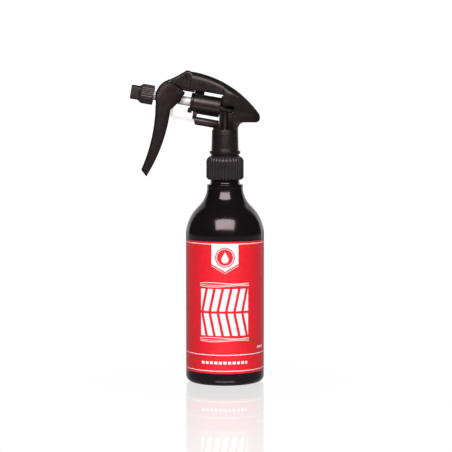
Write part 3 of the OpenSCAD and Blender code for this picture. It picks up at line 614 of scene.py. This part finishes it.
bracket = bmesh.new()
box(bracket, (-26.4, -1.2, -9.2), (-4, 1.2, -6.75), 0.3)
box(bracket, (-27.4, -5, 6.15), (-19.3, 5, 11.6), 0.5)
box(bracket, (-4.5, -1, -1.2), (9.4, 1, 9.3), 0.3)
knuckle = arc(PIVOT, 3.1, 0, 345, 23) + [(-26.9, 10.35), (-20.9, 10.35), (-26.9, 13.75), (-20.9, 13.75)]
wrapped(bracket, knuckle, -5, 5, 0.3)
finish("barrel_bracket", bracket, "head", "head_plastic", head_black, ["pump_body"], HEAD)

boss = along(turned([(0, -5), (2.7, -5), (2.7, 5.3), (2.45, 5.6), (0, 5.6)], 48, closed=False), -1.2)
finish("cross_channel_boss", boss, "head", "head_plastic", stem_black, ["pump_body"], HEAD)
plug = along(turned([(0, 5.62), (2.5, 5.62), (2.5, 6.8), (2.2, 7.1), (1.2, 7.1), (0.9, 6.7), (0, 6.7)], 40,
                    closed=False), -1.2)
finish("cross_channel_plug", plug, "head", "head_plastic", head_black, ["rear_plug"], HEAD)

socket = along(turned([(0, -27), (3.5, -27), (3.5, -3.4), (3.2, -3), (0, -3)], 56, closed=False), -15.15)
lean = radians(17)
trimmed(socket, (-25.2, 0, -11.65), (cos(lean), 0, sin(lean)), clear_inner=True)
bmesh.ops.recalc_face_normals(socket, faces=socket.faces)
soften(socket, [f for f in socket.faces if len(f.verts) > 20 and f.calc_center_median().x < -10], 0.3)
box(socket, (-26.2, -1.5, -14.4), (-22.6, 1.5, -7), 0.4)
finish("spring_socket", socket, "head", "head_plastic", stem_black, ["pump_body"], HEAD)

cap = along(turned([(3.95, -29.8), (7.55, -29.8), (8.0, -29.35), (8.0, -27.9), (7.8, -27.6), (7.8, -27.42),
                    (6.15, -27.42), (6.15, -24.4), (3.95, -24.4), (3.95, -26), (5.2, -26), (5.2, -27.6),
                    (3.95, -27.6)], 96))
box(cap, (-31.1, -4.5, -9.3), (-27.45, 4.5, -5.05), 0.5)
finish("barrel_end_cap", cap, "head", "head_plastic", head_black, ["barrel_cap"], HEAD)

# ---- shroud and hood ----------------------------------------------------------------------------
CROWN = (-32.3, -61.6, 87.2)                            # centre (s, t) and radius of the crown


def crown(s):
    return CROWN[1] + sqrt(CROWN[2] ** 2 - (s - CROWN[0]) ** 2)


WALL, BEND, FLAT = 5, 9, 8                              # faces up a side, round an edge, and to the middle
SPAN = 2 * (WALL + BEND + FLAT)


def loaf(i, half, full, edge, low, top):
    """Place (y, t) number i of SPAN over a section: half wide, cut from one that is full wide."""
    side = -1 if i <= SPAN // 2 else 1
    k = min(i, SPAN - i)
    flat = full - edge
    turn = acos(min(1.0, (half - flat) / edge)) if half > flat else pi / 2
    foot = top - edge + edge * sin(turn)
    if k <= WALL:
        return side * half, low + (foot - low) * k / WALL
    if k <= WALL + BEND:
        a = turn + (pi / 2 - turn) * (k - WALL) / BEND
        return side * min(half, flat + edge * cos(a)), top - edge + edge * sin(a)
    return side * min(half, flat) * (1 - (k - WALL - BEND) / FLAT), top


HOOD_S, STEP_S, WINDOW_S = -31.6, -3.4, 7.7
front_stations = ([HOOD_S, -30.4, -29, -27.85, -27.75, -27.0] + [-26.5 + 1.3 * k for k in range(18)]
                  + [STEP_S + 1])


def shroud_front(column, row):
    s = front_stations[column]
    low = 8.4 if s < -27.8 else 10.35
    y, t = loaf(row, 10.2, 10.2, 6.0, low, crown(s))
    return Vector((s - (t - 8.4) * 0.055 * max(0, 1 - (s - HOOD_S) / 3), y, t))


front = sheet(len(front_stations) - 1, SPAN, shroud_front)
finish("shroud_front", front, "head", "head_plastic", head_black, ["shroud"], HEAD, wall=1.6, edge=0.3)

rear_stations = ([STEP_S + 0.9 * k for k in range(12)] + [WINDOW_S - 0.06, WINDOW_S + 0.06]
                 + [WINDOW_S + 0.8 + 1.15 * k for k in range(18)] + [29.0, 29.6, 29.95])


def shroud_rear(column, row):
    s = rear_stations[column]
    y, t = loaf(row, rear_width(s), WIDE_R, 7.5, 2.8 if s < WINDOW_S else -0.6, crown(s))
    return Vector((s, y, t))


rear = sheet(len(rear_stations) - 1, SPAN, shroud_rear)
finish("shroud_rear", rear, "head", "head_plastic", head_black, ["shroud"], HEAD, wall=1.4, edge=0.3)


def walk(points, gaps):
    """Places along a line of points at the given distances, each with the direction to its right."""
    legs = [hypot(b[0] - a[0], b[1] - a[1]) for a, b in zip(points, points[1:])]
    made = []
    for gap in gaps:
        i = 0
        while i < len(legs) - 1 and gap > legs[i]:
            gap -= legs[i]
            i += 1
        (s0, t0), (s1, t1) = points[i], points[i + 1]
        k = min(1, gap / legs[i])
        made.append((s0 + (s1 - s0) * k, t0 + (t1 - t0) * k, (t1 - t0) / legs[i], -(s1 - s0) / legs[i]))
    return made


def length(points):
    return sum(hypot(b[0] - a[0], b[1] - a[1]) for a, b in zip(points, points[1:]))


RIB_GAP, RIB_DEEP, RIB_STEP = 1.3, 0.42, 0.26


def ribbed(distance):
    """0 on a rib's back and 1 in the groove beside it."""
    return (0.5 - 0.5 * cos(2 * pi * distance / RIB_GAP)) ** 0.7


def channel(path, feet, gaps, half, edge, grooves, band):
    """A U-shaped cover: its back follows path and its two sides end on feet. grooves(distance) is
    how deep the back is ribbed there, and band is how far down the sides the ribs run."""
    back = walk(path, gaps)
    # a path that runs to the rear has its inside on its right, and one that runs forward on its left
    turn = -1 if path[-1][0] > path[0][0] else 1

    def at(column, row):
        s, t, ns, nt = back[column]
        ns, nt = ns * turn, nt * turn
        fs, ft = feet[column]
        side = -1 if row <= SPAN // 2 else 1
        k = min(row, SPAN - row)
        reach = hypot(fs - s, ft - t)
        e = min(edge, 0.45 * reach)
        deep = grooves(gaps[column])
        if k <= WALL:                                   # up the side, the last faces being the rib band
            near = min(0.9, (e + band) / max(reach, 0.01))
            top_s, top_t = s - ns * e, t - nt * e
            if k < WALL - 1:
                share = k / (WALL - 2) * (1 - near)
            else:
                share = 1 - near * 0.45 if k == WALL - 1 else 1
            y = half - (deep * 0.55 if k >= WALL - 1 else 0)
            return Vector((fs + (top_s - fs) * share, side * y, ft + (top_t - ft) * share))
        if k <= WALL + BEND:
            a = radians(90 * (k - WALL) / BEND)
            drop = e - (e - deep) * sin(a)
            return Vector((s - ns * drop, side * (half - e + (e - deep * 0.55) * cos(a)), t - nt * drop))
        y = (half - e) * (1 - (k - WALL - BEND) / FLAT)
        return Vector((s - ns * deep, side * y, t - nt * deep))

    made = sheet(len(gaps) - 1, SPAN, at)
    if turn > 0:
        bmesh.ops.reverse_faces(made, faces=made.faces)
    return made


# hood over the hinge: ribbed from its tip to the knuckle
hood_path = ([(-50.7, 15.7), (-44.1, 20.4), (-39.4, 24.3)] + arc((-36, 21.8), 4.2, 128, 70, 8)[1:]
             + [(HOOD_S - 1.0, 25.4)])
hood_long = length(hood_path)
hood_gaps = [min(hood_long, RIB_STEP * k) for k in range(int(hood_long / RIB_STEP) + 2)]
hood_foot = [(-50.7, 15.7), (-36.2, 8.3), (HOOD_S - 0.05, 8.4)]
foot_long = length(hood_foot)
hood_feet = [spot[:2] for spot in walk(hood_foot, [foot_long * min(1, g / hood_long) for g in hood_gaps])]


def hood_grooves(g):
    return 0.55 * RIB_DEEP * ribbed(g) * min(1, g / 0.8) * max(0, min(1, (16.5 - g) / 1.5))


hood = channel(hood_path, hood_feet, hood_gaps, 10.2, 2.4, hood_grooves, 2.6)
finish("hinge_hood_ribbed", hood, "head", "head_plastic", head_black, ["hinge_hood"], HEAD, wall=1.5)

# ---- trigger ------------------------------------------------------------------------------------
TRIGGER_HALF, TRIGGER_WALL = 9.8, 1.8
front_line = (arc((-44.5, 1.4), 15.7, 115.5, 204, 30)
              + arc((-197.6, -28.9), 140.6, 8.7, -14.4, 30)[1:])
rear_line = ([(-36.5, 7.4), (-35.9, 6.3), (-38.0, 0.8), (-41.6, -4.6)]
             + arc((-187.7, -15.1), 142, 2.1, -21.9, 30))
front_long, rear_long = length(front_line), length(rear_line)
bare, worked = 0.8, 24.0                               # the ribs run from one distance to the other
trigger_gaps = [RIB_STEP * k for k in range(int(worked / RIB_STEP) + 1)]
trigger_gaps += [trigger_gaps[-1] + (front_long - trigger_gaps[-1]) * (k / 34) for k in range(1, 35)]
# the sides' feet keep beside the front line: its round top takes the first part of the rear line
turn_front, turn_rear = 24.0, 23.0
trigger_feet = [spot[:2] for spot in walk(rear_line, [
    g / turn_front * turn_rear if g < turn_front
    else turn_rear + (g - turn_front) / (front_long - turn_front) * (rear_long - turn_rear)
    for g in trigger_gaps])]


def trigger_grooves(g):
    if g < bare or g > worked:
        return 0.0
    return RIB_DEEP * ribbed(g - bare) * min(1, (g - bare) / 0.7) * min(1, (worked - g) / 9)


blade = channel(front_line, trigger_feet, trigger_gaps, TRIGGER_HALF, 2.2, trigger_grooves, 2.6)
# way for the piston tube through the back of the channel
gone = [f for f in blade.faces if abs(f.calc_center_median().y) < 4.7
        and f.calc_center_median().z > -6.5 and f.calc_center_median().x < -46.3]
bmesh.ops.delete(blade, geom=gone, context="FACES")
finish("trigger_blade", blade, "trigger", "head_plastic", trigger_black, ["trigger"], HEAD, wall=TRIGGER_WALL)

arms = bmesh.new()
for side in (-1, 1):
    pad = [(-38.8, 4.4), (-38.8, 6.2), (-47.5, 10.9), (-47.5, -4), (-43.1, -4)]
    low, high = sorted((side * 5.6, side * 8.2))
    slab(arms, pad + arc((TRUNNION[0], 0.4), 1.7, 236, 70, 10), low, high, 0.2)
    low, high = sorted((side * 5.6, side * 7.4))
    arm = arc(PIVOT, 2.9, 0, 345, 23) + [(-46.5, 9.2), (-39.5, 9.2), (-46.5, 10.4), (-39.5, 10.4)]
    wrapped(arms, arm, low, high, 0.25)
    # tongue under the hood, and the round end over the side pin
    low, high = sorted((side * 5.6, side * 8.0))
    tongue = [(-38.6, 5.9), (-37.4, 9.2), (-48.2, 15.0), (-50.4, 13.8), (-50.4, 12.6)]
    wrapped(arms, tongue, low, high, 0.2)
    add_across(arms, TRUNNION, [(0, 8.0), (3.0, 8.0), (3.0, 9.95), (2.8, 10.15), (2.3, 10.15), (2.1, 9.95),
                                (2.1, 9.4), (0, 9.4)], 40, side)
# the blade's closed lower end, and the cross bar between the cheeks
wrapped(arms, [(-61.1, -64.3), (-55.9, -69.0), (-56.4, -67.2), (-60.7, -62.9)], -9.5, 9.5, 0.5)
add_across(arms, (-52, -16.5), [(0, -8.2), (1.2, -8.2), (1.2, 8.2), (0, 8.2)], 24, -1)
finish("trigger_arms", arms, "trigger", "head_plastic", trigger_black, ["trigger"], HEAD)

# ---- piston tube, spring and nozzle -------------------------------------------------------------
tube = along(turned([(2.3, -66.7), (3.6, -66.7), (3.85, -66.4), (3.85, -22.8), (5.8, -22.5), (5.8, -21.2),
                     (5.6, -21), (3.2, -21), (3.2, -17.5), (2.3, -17.5)], 72))
for side in (-1, 1):
    add_across(tube, TRUNNION, [(0, 3.4), (1.6, 3.4), (1.6, 7.7), (1.35, 7.95), (0, 7.95)], 40, side)
finish("piston_tube_clear", tube, "piston", "clear_plastic", clear, ["piston_tube"], HEAD)

bend = (-40.7, -11.15)
strap = bmesh.new()
leg = [(-46.2, -4.8 - 0.8 * k) for k in range(8)]
run = [(-39.0 + 1.5 * k, -16.65) for k in range(1, 17)]
slab(strap, leg[:-1] + arc(bend, 5.5, 180, 270, 12) + run + [(s, -13.65) for s, _ in run[::-1]]
     + arc(bend, 2.5, 270, 180, 10) + [(-43.2, t) for _, t in leg[:-1][::-1]], -2, 2, 0.3, 2)
box(strap, (-46.2, -5.4, -7.4), (-43.2, 5.4, -4.5), 0.3)
fork = [(-46.2, -5), (-43.2, -5), (-39, -1.8), (-38.6, 0), (-39.4, 1.9), (-40.9, 2.5), (-42.6, 1.9),
        (-46.2, -2.6)]
for low, high in ((4.0, 5.4), (-5.4, -4.0)):
    slab(strap, fork, low, high, 0.2, 2)
spring = finish("return_spring_clear", strap, None, "clear_plastic", clear_strap, ["return_spring"], HEAD)
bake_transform(spring)

NOZZLE_BACK, NOZZLE_FRONT, KNURL_END, CAP_R, FRONT_FLAT, KNURLS = -61.7, -81.3, -72.2, 8.35, 12.1, 24
front_skin = ([(6.68, NOZZLE_BACK), (7.5, NOZZLE_BACK), (CAP_R - 0.12, NOZZLE_BACK - 0.35)]
              + [(CAP_R, NOZZLE_BACK - 0.8 - 1.45 * k) for k in range(7)]
              + [(CAP_R - 0.1, KNURL_END + 0.15), (CAP_R - 0.5, KNURL_END - 0.25),
                 (CAP_R - 0.6, KNURL_END - 0.5)]
              + [(CAP_R - 0.6 - 0.13 * k, KNURL_END - 0.5 - 0.35 * k) for k in range(1, 6)]
              + [(7.0, KNURL_END - 3 - 0.85 * k) for k in range(7)]
              + arc((6.4, NOZZLE_FRONT + 0.6), 0.6, 0, -90, 4)
              + [(2.6, NOZZLE_FRONT), (2.4, NOZZLE_FRONT + 0.12), (0.95, NOZZLE_FRONT + 0.8),
                 (0.4, NOZZLE_FRONT + 0.85)]
              + [(0.4, -77.6), (3.25, -77.6), (3.25, -70.1), (6.68, -70.1)])
nozzle = turned(front_skin, KNURLS * 10)
flat_half = FRONT_FLAT / 2
for v in nozzle.verts:
    r, a = hypot(v.co.x, v.co.y), atan2(v.co.y, v.co.x)
    if r < 6.75 and v.co.z > NOZZLE_FRONT + 1.2 or r < 3:
        continue
    if v.co.z > KNURL_END:                              # knurls
        off = (a / (2 * pi) * KNURLS + 0.5) % 1 - 0.5
        groove = 0.42 * min(1, (abs(off) * 2) ** 2.2 * 1.3)
        ends = min(1, max(0, (NOZZLE_BACK - 0.1 - v.co.z) / 0.9), max(0, (v.co.z - KNURL_END) / 0.5))
        v.co.xy *= (r - groove * ends) / r
    else:                                               # squared front, which flares into the knurled part
        square = min(7.35, flat_half / max(abs(cos(a)), abs(sin(a))))
        pull = min(1, (KNURL_END - 0.3 - v.co.z) / 2.4)
        target = r + (square * r / 7.0 - r) * max(0, pull)
        v.co.xy *= min(target, 7.75) / r
finish("nozzle_cap_knurled", along(nozzle), "nozzle", "nozzle_plastic", nozzle_black, ["nozzle_cap"], HEAD,
       sharp=44)

# ---- inner nodes keep their shape and take a finish ---------------------------------------------
for material, nodes in ((white_plastic, ("neck_plug", "dip_filter", "nozzle_carrier", "outlet_valve",
                                         "spinner", "piston_seal")),
                        (clear, ("dip_tube",)), (gasket_foam, ("neck_gasket",)),
                        (rubber, ("barrel_wiper", "nozzle_seal")), (steel, ("inlet_ball", "outlet_spring")),
                        (head_black, ("hinge_pin",))):
    for node in nodes:
        kept = frame["nodes"][node]
        kept.data.materials.clear()
        kept.data.materials.append(material)

# ---- floor and light ----------------------------------------------------------------------------
def make(tree, kind, **inputs):
    """A shader node with some of its inputs set, an underscore standing for a space."""
    made = tree.nodes.new(kind)
    for key, value in inputs.items():
        made.inputs[key.replace("_", " ")].default_value = value
    return made


def wire(tree, *pairs):
    for a, b in pairs:
        tree.links.new(a, b)


FLOOR_HALF = 4                                          # metres
ground = bmesh.new()
bmesh.ops.create_grid(ground, x_segments=8, y_segments=8, size=FLOOR_HALF)
floor_mesh = bpy.data.meshes.new("studio_floor")
ground.to_mesh(floor_mesh)
ground.free()
floor = bpy.data.objects.new("studio_floor", floor_mesh)
scene.collection.objects.link(floor)

# bright to the camera, dimmer to the bottle, with a reflection that fades away from the foot
table_top = bpy.data.materials.new("white_acrylic_table")
table_top.use_nodes = True
tree = table_top.node_tree
tree.nodes.clear()
glow = make(tree, "ShaderNodeEmission", Color=(1, 1, 1, 1))
seen_by = make(tree, "ShaderNodeLightPath")
glow_share = make(tree, "ShaderNodeMapRange", To_Min=0.34, To_Max=1.04)
mirror = make(tree, "ShaderNodeBsdfGlossy", Roughness=0.045)
where = make(tree, "ShaderNodeNewGeometry")
reach = make(tree, "ShaderNodeVectorMath")
reach.operation = "LENGTH"
fade = make(tree, "ShaderNodeMapRange", From_Min=0.03, From_Max=0.6, To_Min=0.3, To_Max=0.0)
mix = make(tree, "ShaderNodeMixShader")
out = make(tree, "ShaderNodeOutputMaterial")
wire(tree,
     (seen_by.outputs["Is Camera Ray"], glow_share.inputs["Value"]),
     (glow_share.outputs[0], glow.inputs["Strength"]),
     (where.outputs["Position"], reach.inputs[0]),
     (reach.outputs["Value"], fade.inputs["Value"]),
     (fade.outputs[0], mix.inputs[0]),
     (glow.outputs[0], mix.inputs[1]),
     (mirror.outputs[0], mix.inputs[2]),
     (mix.outputs[0], out.inputs["Surface"]))
floor_mesh.materials.append(table_top)

# white backdrop behind the bottle, white everywhere to the camera
world = bpy.data.worlds.new("studio")
scene.world = world
world.use_nodes = True
sky = world.node_tree
sky.nodes.clear()
seen = make(sky, "ShaderNodeLightPath")
direction = make(sky, "ShaderNodeTexCoord")
split = make(sky, "ShaderNodeSeparateXYZ")
back = make(sky, "ShaderNodeMapRange", From_Min=0.68, From_Max=0.98, To_Min=0.03, To_Max=1.08)
bright = make(sky, "ShaderNodeMath")
bright.operation = "MAXIMUM"
cloth = make(sky, "ShaderNodeBackground", Color=(1, 1, 1, 1))
end = make(sky, "ShaderNodeOutputWorld")
wire(sky,
     (direction.outputs["Generated"], split.inputs[0]),
     (split.outputs["Y"], back.inputs["Value"]),
     (back.outputs[0], bright.inputs[0]),
     (seen.outputs["Is Camera Ray"], bright.inputs[1]),
     (bright.outputs[0], cloth.inputs["Strength"]),
     (cloth.outputs[0], end.inputs["Surface"]))


AIM_Z = 0.15                                            # metres


def softbox(name, azimuth, elevation, distance, width, height, power):
    """A lamp that faces the bottle's middle. Azimuth 0 is in front, positive to the right."""
    light = bpy.data.lights.new(name, "AREA")
    light.shape = "RECTANGLE"
    light.size, light.size_y, light.energy = width, height, power
    lamp = bpy.data.objects.new(name, light)
    aim = Vector((0, 0, AIM_Z))
    a, e = radians(azimuth), radians(elevation)
    lamp.location = aim + distance * Vector((sin(a) * cos(e), -cos(a) * cos(e), sin(e)))
    lamp.rotation_euler = (aim - lamp.location).to_track_quat("-Z", "Y").to_euler()
    lamp.visible_camera = False
    scene.collection.objects.link(lamp)


softbox("front_softbox", 0, 35, 1.5, 1.5, 0.8, 38)
softbox("right_strip", 140, 12, 1.3, 0.3, 1.3, 1)
softbox("left_strip", -140, 12, 1.3, 0.3, 1.3, 0.7)
scene.view_settings.view_transform = "Standard"
